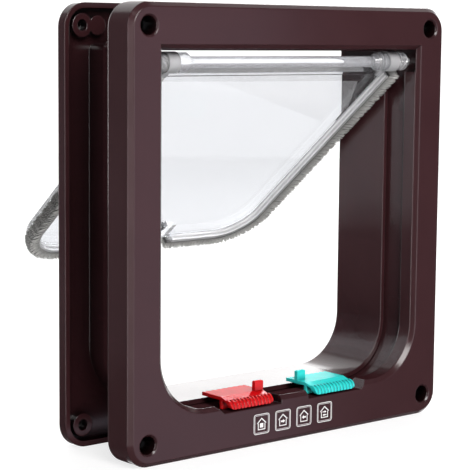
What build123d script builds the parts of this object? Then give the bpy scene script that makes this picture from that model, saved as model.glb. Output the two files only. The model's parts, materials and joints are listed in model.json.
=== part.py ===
"""Cat flap with a telescoping two-part frame, a clear hinged flap and two lock sliders.

Millimetres. X runs across the opening, Y from the inside of the house to the outside, Z up.
The origin is the centre of the four screw holes, on the face that lies against the door's inner side.
"""
import math
import os

from build123d import *

# Borders on both sides of the door
frame_width = 190.0
frame_height = 200.0
frame_corner = 11.0
front_depth = 16.0
back_depth = 6.5
face_wall = 2.5
rim_wall = 2.5
front_bevel = 2.0
back_bevel = 1.4
door_thickness = 32.5

# Tunnels: the back one slides inside the front one
border_side = 13.0
border_end = 15.5
tunnel_corner = 30.0
tunnel_top_corner = 6.0
front_tunnel_wall = 2.55
back_tunnel_wall = 2.4
front_tunnel_reach = 22.0
back_tunnel_length = 33.0
telescope_gap = 0.3

# Lip round the inside opening
lip_depth = 9.0
lip_step_side = 2.45
lip_step_top = 1.75
lip_step_sill = 3.65
lip_corner = 25.0

# Screw sockets, bosses, posts and ribs
screw_inset = 10.0
screw_hole = 4.6
socket_bore = 8.2
socket_floor = 3.5
socket_wall = 1.6
socket_round = 0.8
boss_diameter = 10.5
boss_bore = 5.0
boss_floor = 1.2
boss_setback = 0.8
post_diameter = 8.8
post_pitch = 8.3
rib_thickness = 1.8
rib_setback = 2.0
rib_offset = 55.0

# Hinge
hinge_drop = 5.9
hinge_setback = 1.0
bar_diameter = 5.2
barrel_diameter = 8.7
barrel_length = 20.4
barrel_taper = 2.9
barrel_end_gap = 1.3
collar_diameter = 9.4
collar_length = 6.0
cap_length = 5.7
cap_socket = 3.0
pivot_diameter = 4.0
pivot_gap = 0.08
pivot_end_gap = 0.5
tab_width = 3.2
tab_thickness = 2.0
tab_overlap = 2.2
pocket_height = 10.8
pocket_skin = 2.0

# Flap, measured down from the hinge axis and forwards from it
swing_angle = 51.0
sheet_thickness = 2.0
sheet_setback = 0.5
flap_top = 7.0
ridge_wall = 1.8
ridge_height = 4.5
flange_width = 4.0
flange_drop = 1.8
flap_corner = 24.0
bead_width = 2.2
bead_height = 1.2
insert_height = 3.0

# Pile strips
pile_thickness = 5.3
pile_side_gap = 0.95
pile_sill_gap = 0.3
pile_top = 6.0
pile_past_flange = 0.7

# Lock sliders
slider_length = 25.2
slider_start = 13.2
slider_travel = 4.6
slider_stop_gap = 0.4
slider_plate = 1.6
slider_rise = 2.2
slider_tail = 21.3
slider_floor_gap = 0.3
slider_slope = 4.2
slider_dip = 0.8
grip_run = 3.8
grip_toe_gap = 1.05
grip_corner = 2.0
grip_wall = 1.8
grip_bulge = 1.2
grip_facets = 5
rib_count = 13
rib_width = 0.9
rib_height = 0.5
notch_spare = 4.1
notch_slope = 4.5
tail_tooth_count = 8
tail_tooth_depth = 1.2
peg_length = 5.0
peg_depth = 2.1
peg_height = 4.6
peg_round = 0.7
peg_gap = 0.8
peg_side_gap = 1.6
keel_length = 10.0
keel_wall = 1.6
keel_gap = 0.25
hook_reach = 0.9
hook_height = 1.6

# Magnets
magnet_length = 12.4
magnet_width = 3.6
magnet_height = 3.0
magnet_skin = 1.7
plug_height = 1.4
flap_magnet_length = 20.0
flap_magnet_width = 6.0
flap_magnet_height = 3.0
magnet_rail = 1.2

# Outside of the front tunnel, which fills the cut-out in the door
tunnel_width = frame_width - 2 * border_side
tunnel_height = frame_height - 2 * border_end

# Places along Y
front_face = -front_depth
lip_back = front_face + lip_depth
front_tunnel_end = front_tunnel_reach
back_rim = door_thickness
back_face = door_thickness + back_depth
back_tunnel_end = back_face - back_tunnel_length

# Half sizes of the nested tunnel outlines, as offsets from the front tunnel's outside
back_tunnel_offset = front_tunnel_wall + telescope_gap
clear_offset = back_tunnel_offset + back_tunnel_wall
tunnel_floor = -tunnel_height / 2 + front_tunnel_wall
opening_half = tunnel_width / 2 - front_tunnel_wall - lip_step_side
opening_top = tunnel_height / 2 - front_tunnel_wall - lip_step_top
opening_sill = tunnel_floor + lip_step_sill

# Hinge axis
hinge_y = lip_back + hinge_setback
hinge_z = opening_top - hinge_drop
cap_end = opening_half - barrel_end_gap
collar_end = cap_end - cap_length
collar_start = collar_end - collar_length
barrel_start = cap_end - barrel_length

# Slider levels
slider_top = opening_sill + slider_rise
plate_under = slider_top - slider_plate
slider_foot = tunnel_floor + slider_floor_gap
grip_toe = tunnel_floor + grip_toe_gap
slider_end = slider_start + slider_length
bridge_half = slider_start - slider_travel - slider_stop_gap
peg_top = slider_top + peg_height

# Flap outline
pile_half = tunnel_width / 2 - clear_offset - pile_side_gap
pile_bottom = hinge_z - slider_top - pile_sill_gap
flange_bottom = pile_bottom - pile_past_flange
ridge_bottom = flange_bottom - flange_drop
ridge_half = opening_half - 2 * barrel_end_gap - flange_width - pile_past_flange
flange_half = ridge_half + flange_width
sheet_front = hinge_y + sheet_setback
sheet_back = sheet_front + sheet_thickness
notch_top = hinge_z - peg_top - peg_gap
gap_top = notch_top - insert_height
tongue_half = slider_start - peg_side_gap
notch_half = slider_start + peg_length + pile_past_flange


def facing(y):
    """Sketch plane across the opening at depth y, with sketch Y upwards."""
    return Plane(origin=(0, y, 0), x_dir=(1, 0, 0), z_dir=(0, -1, 0))


def slab(outline, y_start, y_end):
    """Prism of an outline between two depths."""
    return extrude(facing(y_start) * outline, -(y_end - y_start))


def block(x_range, y_range, z_range):
    """Box between three pairs of limits."""
    sizes = [max(pair) - min(pair) for pair in (x_range, y_range, z_range)]
    middle = [sum(pair) / 2 for pair in (x_range, y_range, z_range)]
    return Pos(*middle) * Box(*sizes)


def rod_y(x, z, diameter, y_start, y_end):
    """Cylinder along Y."""
    return slab(Pos(x, z) * Circle(diameter / 2), y_start, y_end)


def rod_x(y, z, diameter, x_start, x_end):
    """Cylinder along X."""
    plane = Plane(origin=(x_start, y, z), x_dir=(0, 1, 0), z_dir=(1, 0, 0))
    return extrude(plane * Circle(diameter / 2), x_end - x_start)


def rounded_below(half_width, bottom, top, corner):
    """Rectangle with its two bottom corners rounded."""
    face = Pos(0, (bottom + top) / 2) * Rectangle(2 * half_width, top - bottom)
    return fillet(face.vertices().group_by(Axis.Y)[0], corner)


def rounded(half_width, bottom, top, low_corner, high_corner):
    """Rectangle whose bottom and top corners have their own radii."""
    face = rounded_below(half_width, bottom, top, low_corner)
    return fillet(face.vertices().group_by(Axis.Y)[-1], high_corner)


def tunnel_outline(offset):
    """Outline of the tunnel, a set distance inside its outermost surface."""
    half_height = tunnel_height / 2 - offset
    low = tunnel_corner - offset
    high = tunnel_top_corner - offset
    return rounded(tunnel_width / 2 - offset, -half_height, half_height, low, high)


def border_outline(inset):
    """Outline of the border, a set distance inside its edge."""
    half_height = frame_height / 2 - inset
    corner = frame_corner - inset
    return rounded(frame_width / 2 - inset, -half_height, half_height, corner, corner)


def screw_places():
    """Centres of the four screw holes."""
    x = frame_width / 2 - screw_inset
    z = frame_height / 2 - screw_inset
    return [(sx * x, sz * z) for sx in (-1, 1) for sz in (-1, 1)]


def edges_at(solid, y):
    """Every edge that lies in the plane at depth y."""
    return solid.edges().filter_by_position(Axis.Y, y - 0.01, y + 0.01)


def border_ribs(y_start, y_end):
    """Stiffening ribs between the front tunnel and the border's rim."""
    ring = border_outline(rim_wall / 2) - tunnel_outline(front_tunnel_wall / 2)
    strips = Sketch()
    for place in (-rib_offset, rib_offset):
        strips += Pos(place, 0) * Rectangle(rib_thickness, frame_height)
        strips += Pos(0, place) * Rectangle(frame_width, rib_thickness)
    return slab(strips & ring, y_start, y_end)


def slider_notch():
    """Outline of the right slider's notch in the sill, seen from the front."""
    end = slider_end + notch_spare
    above = opening_sill + front_bevel
    slope = notch_slope * (above - tunnel_floor) / lip_step_sill
    corners = [(bridge_half, above), (bridge_half, tunnel_floor), (end, tunnel_floor), (end + slope, above)]
    return make_face(Polyline(*corners, close=True))


def magnet_place():
    """Depth limits of the sill magnet."""
    y_end = lip_back - front_tunnel_wall / 2
    return y_end - magnet_width, y_end


def make_front_frame():
    """Inside half: border, lip, tunnel, hinge pockets and sill."""
    lip = rounded_below(opening_half, opening_sill, opening_top, lip_corner)
    frame = slab(border_outline(0), front_face, 0) - slab(lip, front_face, 0)
    frame = chamfer(edges_at(frame, front_face), front_bevel)
    hollow = border_outline(rim_wall) - tunnel_outline(0)
    frame -= slab(hollow, front_face + face_wall, 0)
    frame -= slab(tunnel_outline(front_tunnel_wall), lip_back, 0)
    frame += slab(tunnel_outline(0) - tunnel_outline(front_tunnel_wall), 0, front_tunnel_end)
    frame += border_ribs(front_face + face_wall, -rib_setback)
    for x, z in screw_places():
        frame += rod_y(x, z, socket_bore + 2 * socket_wall, front_face + face_wall, 0)
    for x, z in screw_places():
        mouth = rod_y(x, z, socket_bore, front_face, -socket_floor)
        flare = Plane(origin=(x, front_face, z), z_dir=(0, 1, 0))
        mouth += flare * Cone(
            socket_bore / 2 + socket_round, socket_bore / 2, socket_round, align=(Align.CENTER, Align.CENTER, Align.MIN)
        )
        frame -= mouth + rod_y(x, z, screw_hole, -socket_floor, 0)
    for side in (-1, 1):
        frame -= hinge_pocket(side)
        frame -= sill_cuts(side)
    y_range = magnet_place()
    z_range = (-tunnel_height / 2, opening_sill - magnet_skin)
    half = magnet_length / 2
    return frame - block((-half, half), y_range, z_range)


def hinge_pocket(side):
    """Relief behind the lip for a hinge cap, and the hole that its stub turns in."""
    wall = opening_half + lip_step_side
    y_range = (front_face + pocket_skin, lip_back)
    relief = block((side * cap_end, side * wall), y_range, (opening_top - pocket_height, opening_top))
    hole = pivot_diameter + 2 * pivot_gap
    return relief + rod_x(hinge_y, hinge_z, hole, side * cap_end, side * tunnel_width / 2)


def keel_place():
    """Depth limits of the slider's keel."""
    y_end = lip_back - 2 * keel_gap
    return y_end - keel_wall, y_end


def sill_cuts(side):
    """Notch for one slider and the slot for its keel."""
    notch = slab(slider_notch(), front_face, lip_back)
    keel_start, keel_end = keel_place()
    x_start = slider_start + (slider_length - keel_length) / 2
    x_range = (x_start - slider_travel - keel_gap, x_start + keel_length + keel_gap)
    slot = block(x_range, (keel_start - keel_gap, keel_end + keel_gap), (-tunnel_height / 2, tunnel_floor))
    cuts = notch + slot
    return cuts if side > 0 else mirror(cuts, Plane.YZ)


def make_back_frame():
    """Outside half: border with bosses and posts, and the inner tunnel."""
    clear = tunnel_outline(clear_offset)
    frame = slab(border_outline(0), back_rim, back_face) - slab(clear, back_rim, back_face)
    frame = chamfer(edges_at(frame, back_face), back_bevel)
    hollow = border_outline(rim_wall) - tunnel_outline(back_tunnel_offset)
    frame -= slab(hollow, back_rim, back_face - face_wall)
    frame += slab(tunnel_outline(back_tunnel_offset) - clear, back_tunnel_end, back_rim)
    post_z = frame_height / 2 - screw_inset
    post_x = frame_width / 2 - screw_inset - post_pitch
    for x, z in screw_places():
        frame += rod_y(x, z, boss_diameter, back_rim + boss_setback, back_face - face_wall)
    for side in (-1, 1):
        frame += rod_y(side * post_x, post_z, post_diameter, back_rim + boss_setback, back_face - face_wall)
    for x, z in screw_places():
        frame -= rod_y(x, z, boss_bore, back_rim + boss_setback, back_face - boss_floor)
    return frame


def flap_outline(half_width, bottom, corner):
    """Outline of the flap, hanging, with its bottom a set distance below the axis."""
    return rounded_below(half_width, hinge_z - bottom, hinge_z - flap_top, corner)


def lock_gap():
    """Gap in the flap's bottom edge for the lock insert and the pegs, as an outline."""
    return Pos(0, hinge_z - gap_top) * Rectangle(
        2 * notch_half, 2 * insert_height + flange_bottom - gap_top, align=(Align.CENTER, Align.MAX)
    )


def ridge_outline():
    """Outside of the ridge, stepped up over the lock gap."""
    corner = flap_corner - flange_width + pile_past_flange
    return flap_outline(ridge_half, ridge_bottom, corner) - lock_gap()


def cone_x(y, z, diameter_start, diameter_end, x_start, x_end):
    """Tapered cylinder along X."""
    plane = Plane(origin=(x_start, y, z), z_dir=(1, 0, 0))
    align = (Align.CENTER, Align.CENTER, Align.MIN)
    return plane * Cone(diameter_start / 2, diameter_end / 2, x_end - x_start, align=align)


def make_hinge_rod():
    """Clear rod with a thicker barrel and a thin shank at each end."""
    barrel_full = barrel_start + barrel_taper
    half = rod_x(hinge_y, hinge_z, bar_diameter, 0, barrel_full)
    half += cone_x(hinge_y, hinge_z, bar_diameter, barrel_diameter, barrel_start, barrel_full)
    half += rod_x(hinge_y, hinge_z, barrel_diameter, barrel_full, collar_start)
    half += rod_x(hinge_y, hinge_z, pivot_diameter, collar_start, collar_end + cap_socket)
    return half + mirror(half, Plane.YZ)


def make_hinge_collar():
    """Right-hand ring on the rod, with the tab that holds the flap."""
    collar = rod_x(hinge_y, hinge_z, collar_diameter, collar_start, collar_end)
    tab_z = (hinge_z - flap_top - tab_overlap, hinge_z)
    collar += block((collar_start, collar_start + tab_width), (sheet_front - tab_thickness, sheet_front), tab_z)
    return collar - rod_x(hinge_y, hinge_z, pivot_diameter, collar_start, collar_end)


def make_hinge_cap():
    """Right-hand cap on the rod's shank, with the stub that turns in the tunnel wall."""
    cap = rod_x(hinge_y, hinge_z, barrel_diameter, collar_end, cap_end)
    cap += rod_x(hinge_y, hinge_z, pivot_diameter, cap_end, tunnel_width / 2 - pivot_end_gap)
    return cap - rod_x(hinge_y, hinge_z, pivot_diameter, collar_end, collar_end + cap_socket)


def flap_magnet_place():
    """Limits of the flap's magnet along X, Y and Z, hanging."""
    half = flap_magnet_length / 2
    low = hinge_z - gap_top + ridge_wall
    return (-half, half), (sheet_front - flap_magnet_height, sheet_front), (low, low + flap_magnet_width)


def make_flap_panel():
    """Clear flap, hanging: sheet with flange, top bead, ridge on three sides and magnet rail."""
    sheet = flap_outline(flange_half, flange_bottom, flap_corner) - lock_gap()
    ridge = ridge_outline()
    ring = ridge - offset(ridge, -ridge_wall, kind=Kind.INTERSECTION)
    open_top = Rectangle(2 * (ridge_half - ridge_wall), 4 * ridge_wall)
    ring -= Pos(0, hinge_z - flap_top) * open_top
    flap = slab(sheet, sheet_front, sheet_back)
    flap += slab(ring, sheet_front - ridge_height, sheet_front)
    bead_z = (hinge_z - flap_top - bead_width, hinge_z - flap_top)
    flap += block((-collar_start, collar_start), (sheet_front - bead_height, sheet_front), bead_z)
    x_range, y_range, z_range = flap_magnet_place()
    rail_x = (x_range[0] - magnet_rail, x_range[1] + magnet_rail)
    rail = block(rail_x, y_range, (z_range[0], z_range[1] + magnet_rail))
    return flap + (rail - block(x_range, y_range, z_range))


def make_lock_insert():
    """Insert in the flap's bottom edge, hanging, with the tongue that the pegs catch."""
    align = (Align.CENTER, Align.MAX)
    top = Pos(0, hinge_z - gap_top)
    outline = top * Rectangle(2 * notch_half, insert_height, align=align)
    outline += top * Rectangle(2 * tongue_half, flange_bottom - gap_top, align=align)
    return slab(outline, sheet_front, sheet_back)


def make_pile_strip(side):
    """Pile along one side, its corner and half of the bottom, hanging."""
    corner = flap_corner + pile_half - flange_half
    outline = flap_outline(pile_half, pile_bottom, corner) - ridge_outline() - lock_gap()
    reach = frame_width
    keep = Pos(side * reach / 2, hinge_z - pile_top) * Rectangle(
        reach, 2 * reach, align=(Align.CENTER, Align.MAX)
    )
    return slab(outline & keep, sheet_front - pile_thickness, sheet_front)


def grip_curve(lift):
    """Points down the front curve of a slider, raised by lift from its root."""
    top = Vector(front_face + grip_run, slider_top - slider_dip - rib_height + lift)
    toe = Vector(front_face + rib_height - lift, grip_toe)
    chord = toe - top
    normal = Vector(chord.Y, -chord.X).normalized()
    middle = (top + toe) / 2 + normal * grip_bulge
    curve = ThreePointArc(top, middle, toe)
    return [curve @ (step / grip_facets) for step in range(grip_facets + 1)]


def slider_profile():
    """Section of a slider across its travel: sloped plate, curved grip and runner leg."""
    curve = grip_curve(0)
    tail_y = front_face + slider_tail
    keel_start, keel_end = keel_place()
    slope_end = front_face + grip_run + slider_slope
    outline = curve + [
        (curve[-1].X + grip_wall, grip_toe),
        (front_face + grip_run, plate_under - slider_dip),
        (keel_start, plate_under),
        (keel_start, slider_foot),
        (keel_end, slider_foot),
        (keel_end, plate_under),
        (tail_y, plate_under),
        (tail_y, slider_top),
        (slope_end, slider_top),
    ]
    return make_face(Polyline(*outline, close=True))


def rib_profile():
    """Section of one grip rib."""
    outline = grip_curve(rib_height) + grip_curve(-rib_height / 2)[::-1]
    return make_face(Polyline(*outline, close=True))


def across(profile, x_start, x_end):
    """Prism along X of a section drawn in Y and Z."""
    plane = Plane(origin=(x_start, 0, 0), x_dir=(0, 1, 0), z_dir=(1, 0, 0))
    return extrude(plane * profile, x_end - x_start)


def grip_corners():
    """What is taken off the grip to round its two lower corners."""
    square = Pos(slider_start + slider_length / 2, grip_toe) * Rectangle(slider_length, 2 * grip_corner)
    high = grip_toe + 3 * grip_corner
    kept = Pos(slider_start + slider_length / 2, 0) * rounded(
        slider_length / 2, grip_toe, high, grip_corner, grip_corner
    )
    return slab(square - kept, front_face - grip_wall, front_face + grip_run)


def make_slider(peg_start):
    """Right-hand lock slider with its peg starting at depth peg_start."""
    slider = across(slider_profile(), slider_start, slider_end)
    rib = rib_profile()
    rib_pitch = (slider_length - rib_width) / (rib_count - 1)
    for index in range(rib_count):
        x = slider_start + index * rib_pitch
        slider += across(rib, x, x + rib_width)
    slider -= grip_corners()
    tail_y = front_face + slider_tail
    tooth_pitch = slider_length / tail_tooth_count
    for index in range(tail_tooth_count):
        x = slider_start + (index + 0.5) * tooth_pitch
        tooth = Rot(0, 0, 45) * Box(tail_tooth_depth, tail_tooth_depth, slider_plate)
        slider -= Pos(x, tail_y, slider_top - slider_plate / 2) * tooth
    peg_y = (peg_start, peg_start + peg_depth)
    peg = block((slider_start, slider_start + peg_length), peg_y, (slider_top, peg_top))
    upper = peg.edges().group_by(Axis.Z)[-1]
    slider += fillet(upper, peg_round)
    keel_start, keel_end = keel_place()
    x_start = slider_start + (slider_length - keel_length) / 2
    x_range = (x_start, x_start + keel_length)
    hook_top = -tunnel_height / 2 - keel_gap
    slider += block(x_range, (keel_start, keel_end), (hook_top - hook_height, slider_foot))
    hook_y = (keel_start - keel_gap - hook_reach, keel_start)
    return slider + block(x_range, hook_y, (hook_top - hook_height, hook_top))


def make_sill_magnet():
    """Bar magnet at the top of its pocket under the sill."""
    top = opening_sill - magnet_skin
    half = magnet_length / 2
    return block((-half, half), magnet_place(), (top - magnet_height, top))


def make_magnet_plug():
    """Plug that closes the magnet's pocket from below."""
    top = opening_sill - magnet_skin - magnet_height
    half = magnet_length / 2
    return block((-half, half), magnet_place(), (top - plug_height, top))


def swung(solid):
    """Turn a piece of the hanging flap to where it stands open."""
    return solid.rotate(Axis((0, hinge_y, hinge_z), (1, 0, 0)), swing_angle)


def make_pieces():
    """Every piece of the cat flap under its node name."""
    red = make_slider(sheet_front - peg_gap - peg_depth)
    collar = make_hinge_collar()
    cap = make_hinge_cap()
    return {
        "front_frame": make_front_frame(),
        "back_frame": make_back_frame(),
        "flap_panel": swung(make_flap_panel()),
        "hinge_rod": swung(make_hinge_rod()),
        "hinge_collar_left": swung(mirror(collar, Plane.YZ)),
        "hinge_collar_right": swung(collar),
        "hinge_cap_left": swung(mirror(cap, Plane.YZ)),
        "hinge_cap_right": swung(cap),
        "pile_strip_left": swung(make_pile_strip(-1)),
        "pile_strip_right": swung(make_pile_strip(1)),
        "lock_insert": swung(make_lock_insert()),
        "flap_magnet": swung(block(*flap_magnet_place())),
        "red_slider": mirror(red, Plane.YZ),
        "green_slider": make_slider(sheet_back + peg_gap),
        "sill_magnet": make_sill_magnet(),
        "magnet_plug": make_magnet_plug(),
    }


os.makedirs("parts", exist_ok=True)
for node, solid in make_pieces().items():
    export_step(solid, f"parts/{node}.step")
    print(node, round(solid.volume, 1))
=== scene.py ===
import json
import math
import random

import bmesh
import bpy
from mathutils import Matrix, Vector


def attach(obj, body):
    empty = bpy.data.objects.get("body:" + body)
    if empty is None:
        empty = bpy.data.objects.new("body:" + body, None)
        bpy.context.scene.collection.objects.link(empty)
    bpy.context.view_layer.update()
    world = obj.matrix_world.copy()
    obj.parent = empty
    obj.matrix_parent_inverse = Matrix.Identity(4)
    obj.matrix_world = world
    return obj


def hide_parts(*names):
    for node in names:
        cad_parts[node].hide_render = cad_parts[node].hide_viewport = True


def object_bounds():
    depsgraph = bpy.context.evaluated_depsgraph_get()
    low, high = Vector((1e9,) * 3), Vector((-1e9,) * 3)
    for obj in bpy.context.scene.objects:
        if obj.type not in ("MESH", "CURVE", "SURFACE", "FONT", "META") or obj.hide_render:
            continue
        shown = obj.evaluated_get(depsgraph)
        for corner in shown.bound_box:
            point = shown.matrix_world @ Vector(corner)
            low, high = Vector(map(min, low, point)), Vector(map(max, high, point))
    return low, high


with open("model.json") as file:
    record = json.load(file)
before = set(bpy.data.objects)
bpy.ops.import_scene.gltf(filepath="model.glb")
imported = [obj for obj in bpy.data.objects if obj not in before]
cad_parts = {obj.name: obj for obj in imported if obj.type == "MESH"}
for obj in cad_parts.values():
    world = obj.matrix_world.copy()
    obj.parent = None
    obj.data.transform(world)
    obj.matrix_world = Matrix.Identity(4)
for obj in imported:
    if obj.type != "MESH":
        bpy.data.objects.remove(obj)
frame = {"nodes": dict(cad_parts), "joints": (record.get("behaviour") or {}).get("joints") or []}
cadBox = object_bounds()
mm = 0.001
nodes = frame["nodes"]
hinge = Vector(next(j["pos_m"] for j in frame["joints"] if j["name"] == "flap_hinge"))
swing = math.radians(51.0)  # how far the flap stands open at rest
print("frame loaded:", ", ".join(sorted(nodes)))

# the photograph's camera, placed in mm round the frame's origin
photoCamera = {
    "place": (-502.06, -569.5, 85.79),
    "right": (0.7666, -0.6421, 0.0091),
    "up": (0.0703, 0.0980, 0.9927),
    "ahead": (0.6383, 0.7603, -0.1202),
    "lens": 125.8,
    "sensor": 36.0,
    "clipStart": 0.02,
}


def makeCamera(setup):
    data = bpy.data.cameras.new("photoCamera")
    data.sensor_width = setup["sensor"]
    data.lens = setup["lens"]
    data.clip_start = setup["clipStart"]
    camera = bpy.data.objects.new("photoCamera", data)
    bpy.context.scene.collection.objects.link(camera)
    turn = Matrix((setup["right"], setup["up"], [-value for value in setup["ahead"]])).transposed()
    camera.matrix_world = Matrix.Translation(Vector(setup["place"]) * mm) @ turn.to_4x4()
    bpy.context.scene.camera = camera


makeCamera(photoCamera)
print("camera set")


def newMaterial(name):
    material = bpy.data.materials.new(name)
    material.use_nodes = True
    return material, material.node_tree.nodes["Principled BSDF"]


def addNoise(tree, scale, detail=4.0):
    place = tree.nodes.new("ShaderNodeTexCoord")
    noise = tree.nodes.new("ShaderNodeTexNoise")
    noise.inputs["Scale"].default_value = scale
    noise.inputs["Detail"].default_value = detail
    tree.links.new(place.outputs["Object"], noise.inputs["Vector"])
    return noise.outputs["Fac"]


def addRamp(tree, source, low, high, start=0.3, end=0.7):
    ramp = tree.nodes.new("ShaderNodeValToRGB")
    ramp.color_ramp.elements[0].position = start
    ramp.color_ramp.elements[1].position = end
    ramp.color_ramp.elements[0].color = low
    ramp.color_ramp.elements[1].color = high
    tree.links.new(source, ramp.inputs["Fac"])
    return ramp.outputs["Color"]


def addRange(tree, source, low, high, start=0.3, end=0.7):
    spread = tree.nodes.new("ShaderNodeMapRange")
    spread.inputs["From Min"].default_value = start
    spread.inputs["From Max"].default_value = end
    spread.inputs["To Min"].default_value = low
    spread.inputs["To Max"].default_value = high
    tree.links.new(source, spread.inputs["Value"])
    return spread.outputs["Result"]


def addBump(tree, source, depth, strength):
    bump = tree.nodes.new("ShaderNodeBump")
    bump.inputs["Distance"].default_value = depth
    bump.inputs["Strength"].default_value = strength
    tree.links.new(source, bump.inputs["Height"])
    return bump


def addMath(tree, operation, *values):
    step = tree.nodes.new("ShaderNodeMath")
    step.operation = operation
    for socket, value in zip(step.inputs, values):
        if isinstance(value, (int, float)):
            socket.default_value = value
        else:
            tree.links.new(value, socket)
    return step.outputs["Value"]


# how every finish paints shade into recesses, and treats edges and faces that look up
shading = {
    "paintedShadeSamples": 12,
    "edgeSamples": 6,
    "clearEdgeSamples": 4,
    "upStart": 0.8,
    "upEnd": 0.98,
    "sideShine": 0.5,
}


def paintRecessShade(tree, colour, shader, paintedShade):
    # painted shade: deep corners are darkened in the base colour, as if they got less light than open faces
    distance, power = paintedShade
    corner = tree.nodes.new("ShaderNodeAmbientOcclusion")
    corner.samples = shading["paintedShadeSamples"]
    corner.only_local = True
    corner.inputs["Distance"].default_value = distance
    shade = tree.nodes.new("ShaderNodeVectorMath")
    shade.operation = "SCALE"
    tree.links.new(colour, shade.inputs[0])
    tree.links.new(addMath(tree, "POWER", corner.outputs["AO"], power), shade.inputs["Scale"])
    tree.links.new(shade.outputs["Vector"], shader.inputs["Base Color"])


def shineOnTops(tree, shader, shine):
    # faces that look up have their own share of shine
    surface = tree.nodes.new("ShaderNodeNewGeometry")
    parts = tree.nodes.new("ShaderNodeSeparateXYZ")
    tree.links.new(surface.outputs["Normal"], parts.inputs["Vector"])
    level = addRange(
        tree, parts.outputs["Z"], shading["sideShine"], shine, shading["upStart"], shading["upEnd"])
    tree.links.new(level, shader.inputs["Specular IOR Level"])


def addSoftEdge(tree, radius, samples):
    # moulded edges are never quite sharp
    soften = tree.nodes.new("ShaderNodeBevel")
    soften.samples = samples
    soften.inputs["Radius"].default_value = radius
    return soften.outputs["Normal"]


# colours, lengths in m, and the reach and power of the shade painted into recesses
brownPlastic = {
    "dark": (0.034, 0.0112, 0.0130, 1),
    "light": (0.040, 0.0132, 0.0152, 1),
    "roughness": (0.16, 0.21),
    "ior": 1.5,
    "cloudScale": 28.0,
    "grainScale": 2600.0,
    "grainDepth": 0.00003,
    "grainStrength": 0.06,
    "edge": 0.0008,
    "paintedShade": (0.030, 1.35),
    "topShine": 1.0,
}
brownSatin = dict(brownPlastic, topShine=0.0)
redPlastic = {
    "dark": (0.56, 0.004, 0.006, 1),
    "light": (0.66, 0.007, 0.009, 1),
    "roughness": (0.18, 0.26),
    "ior": 1.5,
    "cloudScale": 120.0,
    "grainScale": 3200.0,
    "grainDepth": 0.00003,
    "grainStrength": 0.16,
    "edge": 0.0003,
    "paintedShade": (0.003, 1.0),
    "topShine": 0.02,
}
greenPlastic = dict(redPlastic, dark=(0.024, 0.66, 0.63, 1), light=(0.034, 0.76, 0.72, 1))
whitePlastic = {
    "dark": (0.46, 0.46, 0.47, 1),
    "light": (0.54, 0.54, 0.55, 1),
    "roughness": (0.34, 0.44),
    "ior": 1.5,
    "cloudScale": 150.0,
    "grainScale": 3000.0,
    "grainDepth": 0.00003,
    "grainStrength": 0.15,
    "edge": 0.0003,
    "milky": 0.3,
}
ferrite = {
    "dark": (0.030, 0.030, 0.033, 1),
    "light": (0.055, 0.055, 0.060, 1),
    "roughness": (0.5, 0.65),
    "ior": 1.5,
    "cloudScale": 300.0,
    "grainScale": 4000.0,
    "grainDepth": 0.00006,
    "grainStrength": 0.4,
    "edge": 0.0003,
}


def mouldedPlastic(name, look):
    material, shader = newMaterial(name)
    tree = material.node_tree
    cloud = addNoise(tree, look["cloudScale"])
    colour = addRamp(tree, cloud, look["dark"], look["light"])
    # painted shade: recesses are darkened in the base colour
    if "paintedShade" in look:
        paintRecessShade(tree, colour, shader, look["paintedShade"])
    else:
        tree.links.new(colour, shader.inputs["Base Color"])
    if "topShine" in look:
        shineOnTops(tree, shader, look["topShine"])
    gloss = addRange(tree, cloud, *look["roughness"])
    tree.links.new(gloss, shader.inputs["Roughness"])
    grain = addNoise(tree, look["grainScale"], detail=2.0)
    bump = addBump(tree, grain, look["grainDepth"], look["grainStrength"])
    tree.links.new(addSoftEdge(tree, look["edge"], shading["edgeSamples"]), bump.inputs["Normal"])
    tree.links.new(bump.outputs["Normal"], shader.inputs["Normal"])
    shader.inputs["IOR"].default_value = look["ior"]
    shader.inputs["Transmission Weight"].default_value = look.get("milky", 0.0)
    return material


# clear flap, in m from the hinge axis across, down and forwards
clearSheet = {
    "tint": (0.84, 0.855, 0.89, 1),
    "ridgeTint": (0.96, 0.965, 0.975, 1),
    "roughness": (0.01, 0.04),
    "ior": 1.49,
    "alpha": 0.85,
    "milk": 0.015,
    "ridgeMilk": 0.72,
    # painted highlights: how much milkier the ridge's fine lines are
    "lineGlintMilk": 0.22,
    "ridgeStart": 0.0180,
    "raisedStart": 0.0004,
    "gapHalf": 0.0215,
    "gapTop": 0.138,
    "gapBend": 0.40,
    "gapAlpha": 0.50,
    "cornerX": 0.049,
    "cornerD": 0.1269,
    "linePitch": 0.0022,
    "lineDepth": 0.0002,
    "waveScale": 22.0,
    "waveDepth": 0.0002,
    "waveStrength": 0.05,
    "edge": 0.0004,
}
clearRod = dict(
    clearSheet, tint=(0.93, 0.945, 0.975, 1), alpha=0.95, milk=0.22, ridgeMilk=0.22, lineGlintMilk=0.0)


def flapAxis(tree, place, base):
    # distance from the hinge along one direction of the flap
    along = tree.nodes.new("ShaderNodeVectorMath")
    along.operation = "DOT_PRODUCT"
    along.inputs[1].default_value = base
    tree.links.new(place.outputs["Object"], along.inputs[0])
    return addMath(tree, "SUBTRACT", along.outputs["Value"], hinge.dot(base))


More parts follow.
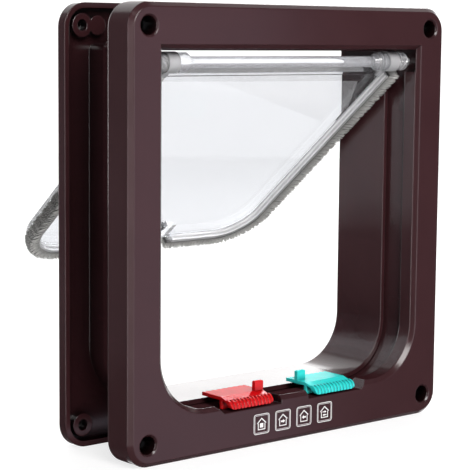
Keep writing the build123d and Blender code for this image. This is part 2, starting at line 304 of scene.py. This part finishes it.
def clearMoulding(name, look):
    material, shader = newMaterial(name)
    tree = material.node_tree
    wave = addNoise(tree, look["waveScale"], detail=2.0)
    tree.links.new(addRange(tree, wave, *look["roughness"]), shader.inputs["Roughness"])
    bump = addBump(tree, wave, look["waveDepth"], look["waveStrength"])
    place = tree.nodes.new("ShaderNodeTexCoord")
    inward = flapAxis(tree, place, Vector((0, -math.cos(swing), -math.sin(swing))))
    down = flapAxis(tree, place, Vector((0, math.sin(swing), -math.cos(swing))))
    sideways = tree.nodes.new("ShaderNodeSeparateXYZ")
    tree.links.new(place.outputs["Object"], sideways.inputs["Vector"])
    across = addMath(tree, "ABSOLUTE", sideways.outputs["X"])
    # fine lines run along the ridge and round its corners
    squares = []
    for distance, corner in ((across, look["cornerX"]), (down, look["cornerD"])):
        past = addMath(tree, "MAXIMUM", addMath(tree, "SUBTRACT", distance, corner), 0.0)
        squares.append(addMath(tree, "POWER", past, 2.0))
    out = addMath(tree, "SQRT", addMath(tree, "ADD", *squares))
    run = addMath(tree, "ADD", out, inward)
    wavy = addMath(tree, "SINE", addMath(tree, "MULTIPLY", run, 2 * math.pi / look["linePitch"]))
    onRidge = addMath(tree, "GREATER_THAN", out, look["ridgeStart"])
    raised = addMath(tree, "MULTIPLY", onRidge, addMath(tree, "GREATER_THAN", inward, look["raisedStart"]))
    line = addMath(tree, "MULTIPLY", wavy, raised)
    lines = addBump(tree, line, look["lineDepth"], 1.0)
    tree.links.new(addSoftEdge(tree, look["edge"], shading["clearEdgeSamples"]), lines.inputs["Normal"])
    tree.links.new(lines.outputs["Normal"], bump.inputs["Normal"])
    tree.links.new(bump.outputs["Normal"], shader.inputs["Normal"])
    # the raised ridge is milkier than the sheet, and painted highlights run along it: milkier stripes on its
    # fine lines stand in for their bright glints
    milk = addMath(tree, "MULTIPLY", raised, look["ridgeMilk"] - look["milk"])
    glintStripes = addMath(tree, "MULTIPLY", line, look["lineGlintMilk"])
    share = addMath(tree, "SUBTRACT", addMath(tree, "SUBTRACT", 1 - look["milk"], milk), glintStripes)
    tree.links.new(share, shader.inputs["Transmission Weight"])
    colour = addRamp(tree, raised, look["tint"], look["ridgeTint"])
    tree.links.new(colour, shader.inputs["Base Color"])
    # the thin walls round the lock insert hardly bend the light
    beside = addMath(tree, "LESS_THAN", across, look["gapHalf"])
    thin = addMath(tree, "MULTIPLY", beside, addMath(tree, "GREATER_THAN", down, look["gapTop"]))
    bend = addMath(tree, "SUBTRACT", look["ior"], addMath(tree, "MULTIPLY", thin, look["gapBend"]))
    tree.links.new(bend, shader.inputs["IOR"])
    alpha = addMath(tree, "SUBTRACT", look["alpha"], addMath(tree, "MULTIPLY", thin, look["gapAlpha"]))
    tree.links.new(alpha, shader.inputs["Alpha"])
    return material


def dress(material, *names):
    for name in names:
        mesh = nodes[name].data
        mesh.materials.clear()
        mesh.materials.append(material)


dress(mouldedPlastic("brownSatin", brownSatin), "front_frame")
dress(mouldedPlastic("brownPlastic", brownPlastic), "back_frame", "magnet_plug")
dress(mouldedPlastic("redPlastic", redPlastic), "red_slider")
dress(mouldedPlastic("greenPlastic", greenPlastic), "green_slider")
dress(mouldedPlastic("whitePlastic", whitePlastic), "hinge_collar_left", "hinge_collar_right")
dress(mouldedPlastic("ferrite", ferrite), "flap_magnet", "sill_magnet")
dress(clearMoulding("clearSheet", clearSheet), "flap_panel", "lock_insert")
dress(clearMoulding("clearRod", clearRod), "hinge_rod", "hinge_cap_left", "hinge_cap_right")
print("materials on the CAD nodes")


def newPiece(name, mesh, material, body):
    piece = bpy.data.objects.new(name, mesh)
    bpy.context.scene.collection.objects.link(piece)
    mesh.materials.append(material)
    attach(piece, body)
    return piece


# grey pile round the flap, laid out with the flap hanging, in mm from the hinge axis
pile = {
    "ridgeHalf": 69.7,
    "ridgeBottom": 147.6,
    "corner": 20.7,
    "top": 5.2,
    "gapHalf": 17.4,
    "sideLength": 6.1,
    "bottomLength": 4.7,
    "front": 5.0,
    "back": -0.45,
    "bunchPitch": 1.95,
    "bunchWidth": 1.4,
    "tipNarrowing": 0.45,
    "fillLength": 0.68,
    "overhang": 1.0,
    "overhangDepth": 0.5,
    "rootDepth": 0.05,
    "forward": 1.1,
    "crown": 0.18,
    "hairsAlong": 4,
    "hairsAcross": 11,
    "hairWidth": 0.44,
    "hairShape": ((0.0, 0.8), (0.6, 1.0), (0.92, 0.6)),  # share of the length, share of the width
    "lengthSpread": 0.18,
    "lean": 0.14,
    "rowSpread": 0.25,
    "tipSpread": 0.08,
    "depthSpread": 0.2,
    "seed": 7,
}
pileFibre = {
    "root": (0.44, 0.44, 0.42, 1),
    "tip": (0.80, 0.80, 0.765, 1),
    "rootEnd": 0.3,
    "tipStart": 1.0,
    "roughness": 0.85,
    "sheen": 0.3,
    "sheenRoughness": 0.5,
    # reach and power of the shade painted between the bunches
    "paintedShade": (0.0022, 1.5),
    "streakScale": 900.0,
    "streakShare": 0.5,
    "streakDepth": 0.0003,
    "streakStrength": 0.5,
}


def fibreMaterial(name, look):
    material, shader = newMaterial(name)
    tree = material.node_tree
    reach = tree.nodes.new("ShaderNodeAttribute")
    reach.attribute_name = "reach"
    streak = addNoise(tree, look["streakScale"], detail=3.0)
    blend = addMath(tree, "MULTIPLY_ADD", streak, look["streakShare"], reach.outputs["Fac"])
    colour = addRamp(tree, blend, look["root"], look["tip"], look["rootEnd"], look["tipStart"])
    # painted shade: the pile is darkened in the base colour between its bunches
    paintRecessShade(tree, colour, shader, look["paintedShade"])
    bump = addBump(tree, streak, look["streakDepth"], look["streakStrength"])
    tree.links.new(bump.outputs["Normal"], shader.inputs["Normal"])
    shader.inputs["Roughness"].default_value = look["roughness"]
    shader.inputs["Sheen Weight"].default_value = look["sheen"]
    shader.inputs["Sheen Roughness"].default_value = look["sheenRoughness"]
    return material


def pilePath(setup, side):
    # middles of the bunches on the ridge's outside, with their outward directions and lengths
    run = setup["bunchPitch"]
    radius = setup["corner"]
    cornerX = setup["ridgeHalf"] - radius
    cornerD = setup["ridgeBottom"] - radius
    steps = []
    count = round((cornerD - setup["top"]) / run)
    for index in range(count):
        d = setup["top"] + (index + 0.5) * (cornerD - setup["top"]) / count
        steps.append((Vector((setup["ridgeHalf"], d)), Vector((1, 0)), setup["sideLength"]))
    arc = round(math.pi / 2 * (radius + setup["sideLength"]) / run)
    for index in range(arc):
        share = (index + 0.5) / arc
        angle = share * math.pi / 2
        out = Vector((math.cos(angle), math.sin(angle)))
        length = setup["sideLength"] + share * (setup["bottomLength"] - setup["sideLength"])
        steps.append((Vector((cornerX, cornerD)) + out * radius, out, length))
    count = round((cornerX - setup["gapHalf"]) / run)
    for index in range(count):
        x = cornerX - (index + 0.5) * (cornerX - setup["gapHalf"]) / count
        steps.append((Vector((x, setup["ridgeBottom"])), Vector((0, 1)), setup["bottomLength"]))
    return [(Vector((side * at.x, at.y)), Vector((side * out.x, out.y)), length) for at, out, length in steps]


def hangingPoint(flat, n):
    # flap coordinates in mm to the frame, hanging
    return hinge + Vector((flat.x, -n, -flat.y)) * mm


def swungOpen():
    return Matrix.Translation(hinge) @ Matrix.Rotation(swing, 4, "X") @ Matrix.Translation(-hinge)


def makeHair(shape, layer, setup, base, tip, along):
    # four-sided hair that swells in the middle and closes at its tip
    across = Vector((0, 1, 0))
    width = setup["hairWidth"] * mm
    rings = []
    for share, size in setup["hairShape"]:
        centre = base.lerp(tip, share)
        ring = []
        for dx, dy in ((1, 0), (0, 1), (-1, 0), (0, -1)):
            vert = shape.verts.new(centre + (across * dx + along * dy) * width * size / 2)
            vert[layer] = share
            ring.append(vert)
        rings.append(ring)
    point = shape.verts.new(tip)
    point[layer] = 1.0
    for low, high in zip(rings, rings[1:]):
        for index in range(4):
            after = (index + 1) % 4
            shape.faces.new((low[index], low[after], high[after], high[index]))
    for index in range(4):
        shape.faces.new((rings[-1][index], rings[-1][(index + 1) % 4], point))


def makeBunch(shape, layer, setup, rng, at, out, length):
    along = Vector((-out.y, out.x))
    alongFrame = Vector((along.x, 0, -along.y))
    depth = setup["front"] - setup["back"]
    bend = rng.uniform(-setup["lean"], setup["lean"])
    # the last column fills the gap to the next bunch with shorter hairs
    columns = setup["hairsAlong"]
    spreads = [((column + 0.5) / columns - 0.5, 1.0) for column in range(columns)]
    spreads.append((setup["bunchPitch"] / setup["bunchWidth"] / 2, setup["fillLength"]))
    for spread, tall in spreads:
        for row in range(setup["hairsAcross"]):
            share = (row + 0.5 + rng.uniform(-setup["rowSpread"], setup["rowSpread"])) / setup["hairsAcross"]
            n = setup["back"] + share * depth
            crown = 1 - setup["crown"] * (2 * share - 1) ** 4
            reach = length * tall * crown * (1 - setup["lengthSpread"] * rng.random())
            # the front rows lie over the ridge's edge and lean forward
            over = setup["overhang"] if n > setup["front"] - setup["overhangDepth"] else setup["rootDepth"]
            start = at - out * over + along * spread * setup["bunchWidth"]
            narrow = -spread * setup["tipNarrowing"] + rng.uniform(-setup["tipSpread"], setup["tipSpread"])
            end = at + out * reach + along * (spread * setup["bunchWidth"] + bend * reach + narrow)
            stray = rng.uniform(-setup["depthSpread"], setup["depthSpread"])
            tipN = max(n + share * setup["forward"] + stray, setup["back"])
            makeHair(shape, layer, setup, hangingPoint(start, n), hangingPoint(end, tipN), alongFrame)


def makePile(name, setup, side, material):
    rng = random.Random(setup["seed"] + side)
    shape = bmesh.new()
    layer = shape.verts.layers.float.new("reach")
    for at, out, length in pilePath(setup, side):
        makeBunch(shape, layer, setup, rng, at, out, length)
    shape.transform(swungOpen())
    mesh = bpy.data.meshes.new(name)
    shape.to_mesh(mesh)
    shape.free()
    for face in mesh.polygons:
        face.use_smooth = True
    return newPiece(name, mesh, material, "flap")


fibre = fibreMaterial("pileFibre", pileFibre)
for side, node in ((-1, "pile_strip_left"), (1, "pile_strip_right")):
    strip = makePile(node + "_tufts", pile, side, fibre)
    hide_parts(node)
    print("pile made:", strip.name, len(strip.data.polygons), "faces")


# printed signs on the front border, in mm on the front face
signs = {
    "places": (-20.5, -7.5, 5.6, 18.7),
    "height": -89.75,
    "face": -16.0,
    "ink": 0.04,
    "outerBand": {"size": 9.4, "line": 0.3, "corner": 1.3, "insideCorner": 1.06},
    "innerBand": {"size": 8.1, "line": 0.15, "corner": 0.78, "insideCorner": 0.65},
    "cornerSteps": 4,
    "house": [(0, 2.9), (-2.9, 0.4), (-2.2, 0.4), (-2.2, -2.7), (2.2, -2.7), (2.2, 0.4), (2.9, 0.4)],
    "houseInside": 0.82,
    "houseDrop": 0.08,
    "ways": ((), (1,), (-1,), (1, -1)),  # how the flap still opens: not, in, out, both
    "oneArrow": {"level": -0.55, "apart": 0.0, "half": 0.95},
    "twoArrows": {"level": -0.6, "apart": 0.75, "half": 0.6},
    "arrowEnd": 1.25,
    "arrowNeck": 0.1,
    "shaftShare": 0.38,
    "shutDoor": [(1, 0.35), (-1, 0.35), (-1, -1.65), (1, -1.65)],
    "white": (0.86, 0.85, 0.84, 1),
    "shade": 0.9,
    "roughness": (0.4, 0.6),
    "speckScale": 1800.0,
}


def signMaterial(name, look):
    material, shader = newMaterial(name)
    tree = material.node_tree
    speck = addNoise(tree, look["speckScale"], detail=3.0)
    shade = tuple(value * look["shade"] for value in look["white"][:3]) + (1,)
    tree.links.new(addRamp(tree, speck, shade, look["white"]), shader.inputs["Base Color"])
    tree.links.new(addRange(tree, speck, *look["roughness"]), shader.inputs["Roughness"])
    return material


def roundedSquare(size, corner, steps):
    points = []
    half = size / 2 - corner
    for quarter, (sx, sz) in enumerate(((1, 1), (-1, 1), (-1, -1), (1, -1))):
        for step in range(steps + 1):
            angle = math.radians(90 * (quarter + step / steps))
            points.append((sx * half + corner * math.cos(angle), sz * half + corner * math.sin(angle)))
    return points


def addRow(shape, points, place, y):
    return [shape.verts.new(Vector((place[0] + x, y, place[1] + z)) * mm) for x, z in points]


def addStroke(shape, outer, inner, place, look):
    # flat band between two outlines, raised by the ink's thickness
    back = look["face"]
    front = back - look["ink"]
    outerBack, outerFront = [addRow(shape, outer, place, y) for y in (back, front)]
    innerBack, innerFront = [addRow(shape, inner, place, y) for y in (back, front)]
    count = len(outer)
    for index in range(count):
        after = (index + 1) % count
        shape.faces.new((outerFront[index], outerFront[after], innerFront[after], innerFront[index]))
        shape.faces.new((outerBack[index], outerBack[after], outerFront[after], outerFront[index]))
        shape.faces.new((innerFront[index], innerFront[after], innerBack[after], innerBack[index]))
        shape.faces.new((innerBack[index], innerBack[after], outerBack[after], outerBack[index]))


def addPatch(shape, points, place, look):
    # filled outline, raised by the ink's thickness
    backRow = addRow(shape, points, place, look["face"])
    frontRow = addRow(shape, points, place, look["face"] - look["ink"])
    shape.faces.new(frontRow)
    shape.faces.new(backRow[::-1])
    for index in range(len(points)):
        after = (index + 1) % len(points)
        shape.faces.new((backRow[index], backRow[after], frontRow[after], frontRow[index]))


def addBand(shape, band, place, look):
    outer = roundedSquare(band["size"], band["corner"], look["cornerSteps"])
    inner = roundedSquare(band["size"] - 2 * band["line"], band["insideCorner"], look["cornerSteps"])
    addStroke(shape, outer, inner, place, look)


def arrowOutline(way, arrow, look):
    shaft = arrow["half"] * look["shaftShare"]
    upper = [(look["arrowEnd"], 0), (look["arrowNeck"], arrow["half"])]
    upper += [(look["arrowNeck"], shaft), (-look["arrowEnd"], shaft)]
    outline = upper + [(x, -z) for x, z in upper[::-1] if z]
    level = arrow["level"] + arrow["apart"] * way
    return [(way * x, level + z) for x, z in outline]


def makeSign(name, look, index, material):
    shape = bmesh.new()
    place = (look["places"][index], look["height"])
    addBand(shape, look["outerBand"], place, look)
    share = look["houseInside"]
    inside = [(x * share, z * share - look["houseDrop"]) for x, z in look["house"]]
    addStroke(shape, look["house"], inside, place, look)
    addBand(shape, look["innerBand"], place, look)
    ways = look["ways"][index]
    arrow = look["oneArrow"] if len(ways) == 1 else look["twoArrows"]
    for way in ways:
        addPatch(shape, arrowOutline(way, arrow, look), place, look)
    if not ways:
        addPatch(shape, look["shutDoor"], place, look)
    bmesh.ops.recalc_face_normals(shape, faces=shape.faces)
    mesh = bpy.data.meshes.new(name)
    shape.to_mesh(mesh)
    shape.free()
    return newPiece(name, mesh, material, "front")


ink = signMaterial("signInk", signs)
for index in range(len(signs["places"])):
    makeSign(f"lock_sign_{index + 1}", signs, index, ink)
print("signs printed")


# studio in m: pale floor, white all round, a dark card to mirror and soft lamps
studio = {
    "floor": (0.28, 0.28, 0.28, 1),
    "floorGlow": 0.78,
    "floorRoughness": 0.7,
    "floorShine": 0.2,
    "floorSize": 7.0,
    "backdrop": (0.2, 0.2, 0.2, 1),
    "backdropPlace": (1.15, 1.35, 0.9),
    "backdropSize": 5.0,
    "backdropGlow": 1.05,
    "glow": (1, 1, 1, 1),
    "world": (0.55, 0.55, 0.60, 1),
    "worldStrength": 0.22,
    "flag": (0.01, 0.01, 0.012, 1),
    "flagPlace": (0.35, 0.60, -0.004),
    "flagSize": 1.2,
    "ringRadius": 3.2,
    "ringHeight": 4.0,
    "ringSides": 48,
    "ringGlow": 1.05,
}
lamps = {
    "key": {"place": (-0.48, -1.42, 1.08), "size": (1.0, 1.0), "power": 36.0, "colour": (1, 0.98, 0.97)},
    "left": {"place": (-1.17, -0.43, 0.12), "size": (0.5, 1.2), "power": 11.0, "colour": (1, 0.95, 0.97)},
    "front": {"place": (-0.22, -1.25, 0.10), "size": (0.6, 1.2), "power": 8.0, "colour": (1, 0.95, 0.97)},
    "rim": {"place": (-0.22, 1.28, 0.05), "size": (0.5, 1.2), "power": 5.0, "colour": (1, 0.95, 0.97)},
    "rear": {"place": (1.15, 1.30, 0.25), "size": (2.4, 0.7), "power": 8.0, "colour": (1, 1, 1)},
    "top": {"place": (0.89, 0.63, 0.87), "size": (0.45, 0.8), "power": 14.0, "colour": (1, 1, 1)},
    "card": {"place": (0.22, -0.56, -0.10), "size": (0.44, 0.52), "power": 0.50, "colour": (0.92, 0.84, 1)},
}
shineOnly = ("left", "front", "rim", "rear")  # lamps that are only mirrored


def makeFloor(setup, level):
    bpy.ops.mesh.primitive_plane_add(size=setup["floorSize"], location=(0, 0, level))
    floor = bpy.context.object
    floor.name = "studio_floor"
    material, shader = newMaterial("paleFloor")
    shader.inputs["Base Color"].default_value = setup["floor"]
    shader.inputs["Roughness"].default_value = setup["floorRoughness"]
    shader.inputs["Specular IOR Level"].default_value = setup["floorShine"]
    shader.inputs["Emission Color"].default_value = setup["glow"]
    shader.inputs["Emission Strength"].default_value = setup["floorGlow"]
    floor.data.materials.append(material)
    floor.visible_glossy = False
    floor.visible_shadow = False


def makeBackdrop(setup):
    bpy.ops.mesh.primitive_plane_add(size=setup["backdropSize"], location=setup["backdropPlace"])
    backdrop = bpy.context.object
    backdrop.name = "studio_backdrop"
    away = Vector(setup["backdropPlace"])
    away.z = 0
    backdrop.rotation_euler = (-away).to_track_quat("Z", "Y").to_euler()
    material, shader = newMaterial("whiteBackdrop")
    shader.inputs["Base Color"].default_value = setup["backdrop"]
    shader.inputs["Emission Color"].default_value = setup["glow"]
    shader.inputs["Emission Strength"].default_value = setup["backdropGlow"]
    backdrop.data.materials.append(material)


def makeFlag(setup, level):
    # dark card behind the front face, seen only as a reflection
    x, y, lift = setup["flagPlace"]
    bpy.ops.mesh.primitive_plane_add(size=setup["flagSize"], location=(x, y, level + lift))
    flag = bpy.context.object
    flag.name = "studio_flag"
    material, shader = newMaterial("darkCard")
    shader.inputs["Base Color"].default_value = setup["flag"]
    flag.data.materials.append(material)
    flag.visible_camera = False
    flag.visible_diffuse = False
    flag.visible_transmission = False
    flag.visible_shadow = False


def makeRing(setup, level):
    # white all round, neither mirrored nor lighting the part
    middle = level + setup["ringHeight"] / 2
    bpy.ops.mesh.primitive_cylinder_add(
        vertices=setup["ringSides"], radius=setup["ringRadius"], depth=setup["ringHeight"],
        end_fill_type="NOTHING", location=(0, 0, middle))
    ring = bpy.context.object
    ring.name = "studio_ring"
    material, shader = newMaterial("whiteRing")
    shader.inputs["Emission Color"].default_value = setup["glow"]
    shader.inputs["Emission Strength"].default_value = setup["ringGlow"]
    ring.data.materials.append(material)
    ring.visible_diffuse = False
    ring.visible_glossy = False
    ring.visible_shadow = False


def makeLamp(name, setup):
    data = bpy.data.lights.new(name, "AREA")
    data.shape = "RECTANGLE"
    data.size, data.size_y = setup["size"]
    data.energy = setup["power"]
    data.color = setup["colour"]
    lamp = bpy.data.objects.new(name, data)
    bpy.context.scene.collection.objects.link(lamp)
    lamp.location = setup["place"]
    lamp.rotation_euler = (-Vector(setup["place"])).to_track_quat("-Z", "Y").to_euler()
    lamp.visible_camera = False
    if name in shineOnly:
        lamp.visible_diffuse = False
        lamp.visible_transmission = False


def makeWorld(setup):
    world = bpy.data.worlds.new("studio")
    bpy.context.scene.world = world
    world.use_nodes = True
    sky = world.node_tree.nodes["Background"]
    sky.inputs["Color"].default_value = setup["world"]
    sky.inputs["Strength"].default_value = setup["worldStrength"]


makeFloor(studio, cadBox[0].z)
makeFlag(studio, cadBox[0].z)
makeBackdrop(studio)
makeRing(studio, cadBox[0].z)
for lampName, lampSetup in lamps.items():
    makeLamp(lampName, lampSetup)
makeWorld(studio)
bpy.context.scene.view_settings.view_transform = "Standard"
print("studio lit")
